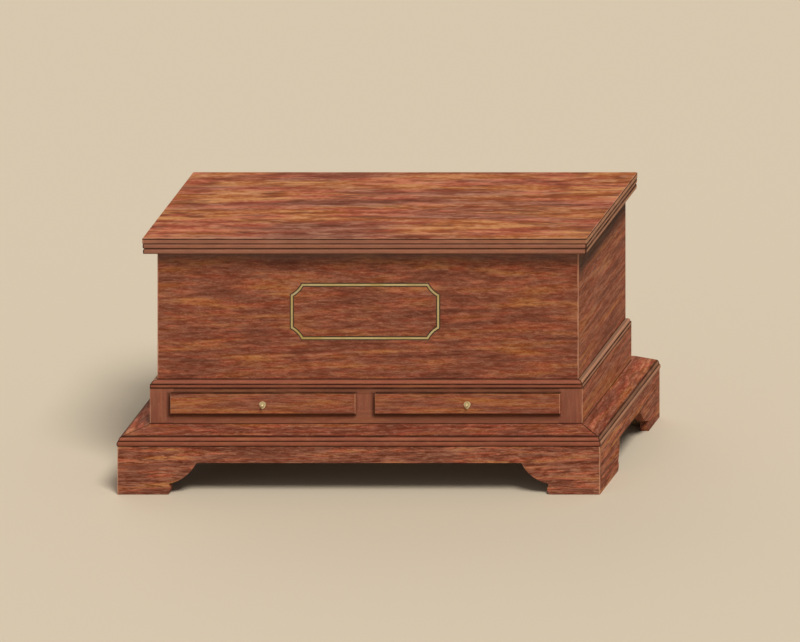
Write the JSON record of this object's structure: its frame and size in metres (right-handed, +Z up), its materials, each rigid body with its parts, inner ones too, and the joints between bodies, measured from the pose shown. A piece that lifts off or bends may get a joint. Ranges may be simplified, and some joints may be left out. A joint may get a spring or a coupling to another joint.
{
  "type": "mule chest",
  "caption": "Walnut mule chest with a hinged lid over a deep chest, shallow lipped drawers below and a wide moulded base on scrolled bracket feet.",
  "frame": {"origin": "on the floor under the middle of the base", "axes": "+X to the right as the front is faced, +Y towards the back, +Z up"},
  "size_m": [1.322, 0.548, 0.68],
  "materials": {
    "walnut": "oiled and waxed, red-brown",
    "poplar": "unfinished, aged",
    "inlay_pale": "waxed",
    "inlay_dark": "waxed",
    "iron": "forged, dark",
    "brass": "aged, soft polish"
  },
  "bodies": {
    "case": {"base_back_board": "poplar", "base_front_board": "walnut", "base_ledge_back": "poplar", "base_ledge_front": "walnut", "base_ledge_left": "walnut", "base_ledge_right": "walnut", "base_left_board": "walnut", "base_right_board": "walnut", "chest_back": "poplar", "chest_end_left": "walnut", "chest_end_right": "walnut", "chest_floor": "poplar", "chest_front": "walnut", "drawer_guide_centre": "poplar", "drawer_guide_left": "poplar", "drawer_guide_right": "poplar", "drawer_runner_centre": "poplar", "drawer_runner_left": "poplar", "drawer_runner_right": "poplar", "foot_glue_blocks": "poplar", "hinge_leaf_left": "iron", "hinge_leaf_nails": "iron", "hinge_leaf_right": "iron", "hinge_pins": "iron", "inlay_edging": "inlay_dark", "inlay_line": "inlay_pale", "lower_facing_left": "walnut", "lower_facing_right": "walnut", "rail_bottom": "walnut", "rail_top": "walnut", "stile_centre": "walnut", "stile_left": "walnut", "stile_right": "walnut", "waist_moulding_front": "walnut", "waist_moulding_left": "walnut", "waist_moulding_right": "walnut"},
    "lid": {"hinge_strap_left": "iron", "hinge_strap_nails": "iron", "hinge_strap_right": "iron", "lid_board": "walnut", "lid_moulding_front": "walnut", "lid_moulding_left": "walnut", "lid_moulding_right": "walnut"},
    "drawer_left": {"drawer_left_back": "poplar", "drawer_left_bottom": "poplar", "drawer_left_front": "walnut", "drawer_left_knob": "brass", "drawer_left_knob_plate": "brass", "drawer_left_knob_washer": "brass", "drawer_left_side_left": "poplar", "drawer_left_side_right": "poplar"},
    "drawer_right": {"drawer_right_back": "poplar", "drawer_right_bottom": "poplar", "drawer_right_front": "walnut", "drawer_right_knob": "brass", "drawer_right_knob_plate": "brass", "drawer_right_knob_washer": "brass", "drawer_right_side_left": "poplar", "drawer_right_side_right": "poplar"}
  },
  "joints": [
    {"name": "lid_hinge", "type": "hinge", "parent": "case", "child": "lid", "pos_m": [0, 0.2475, 0.662], "axis": [-1, 0, 0], "range_deg": [0, 100]},
    {"name": "drawer_left_slide", "type": "slide", "parent": "case", "child": "drawer_left", "axis": [0, -1, 0], "range_m": [0, 0.3]},
    {"name": "drawer_right_slide", "type": "slide", "parent": "case", "child": "drawer_right", "axis": [0, -1, 0], "range_m": [0, 0.3]}
  ]
}
